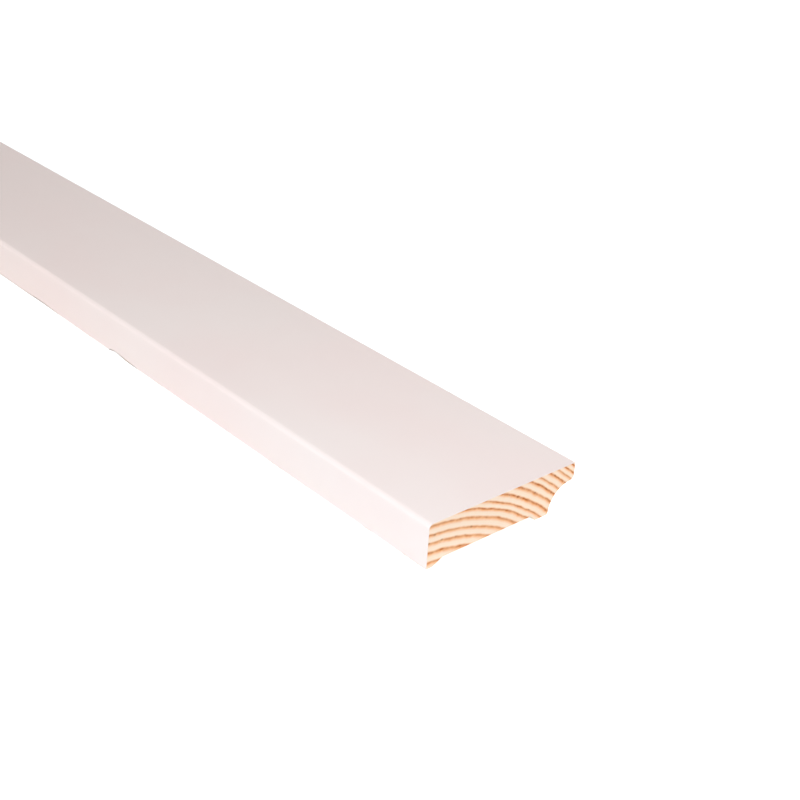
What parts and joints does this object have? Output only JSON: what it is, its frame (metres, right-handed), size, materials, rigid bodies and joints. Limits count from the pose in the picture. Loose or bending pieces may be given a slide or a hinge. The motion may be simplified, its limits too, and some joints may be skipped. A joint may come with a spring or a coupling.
{
  "type": "trim strip",
  "caption": "Straight flat-faced trim strip of white painted solid pine, with a square edge, a thin undercut lip along the other edge and a relieved back.",
  "frame": {"origin": "under the middle of the strip, at the level of the two feet of its back", "axes": "+X along the strip towards the end that the picture shows, +Y across it towards the undercut lip, +Z out of the painted face"},
  "size_m": [2.4, 0.07, 0.0175],
  "materials": {
    "painted_pine": "smooth warm white factory paint on the face and both edges, bare pine on the sawn ends and the relieved back"
  },
  "bodies": {
    "root": {"trim_strip": "painted_pine"}
  },
  "joints": []
}
